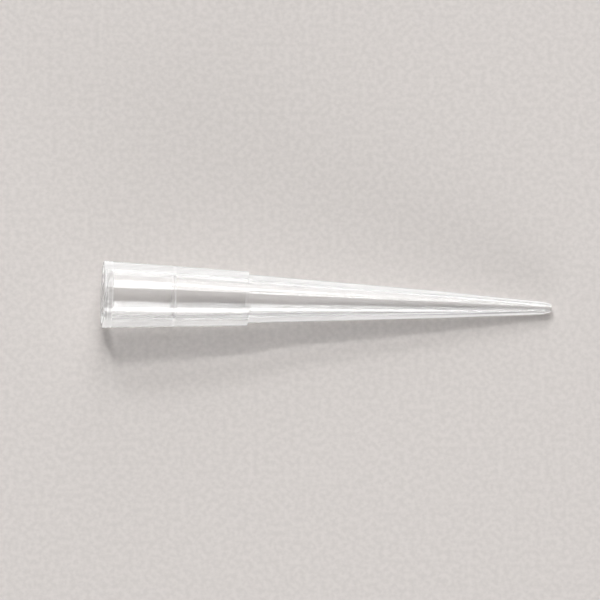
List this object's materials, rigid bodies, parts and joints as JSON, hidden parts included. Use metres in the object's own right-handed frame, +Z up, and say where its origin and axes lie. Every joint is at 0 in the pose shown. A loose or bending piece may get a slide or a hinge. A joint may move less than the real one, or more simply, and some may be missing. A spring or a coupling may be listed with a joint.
{
  "type": "pipette tip",
  "caption": "Clear plastic laboratory pipette tip: a wide collar that takes a pipette's nozzle, a ledge, and a long hollow cone down to a fine orifice.",
  "frame": {"origin": "on the bench, under the middle of the lying tip's bounding box", "axes": "+Z up, +X along the bench towards the point; the tip's own axis slopes 4.1 degrees down towards +X, because the tip rests on the edge of its ledge and on its point"},
  "size_m": [0.0512, 0.0076, 0.008],
  "materials": {
    "clear_polypropylene": "clear, glossy moulded plastic with a faint haze"
  },
  "bodies": {
    "root": {"pipette_tip": "clear_polypropylene"}
  },
  "joints": []
}
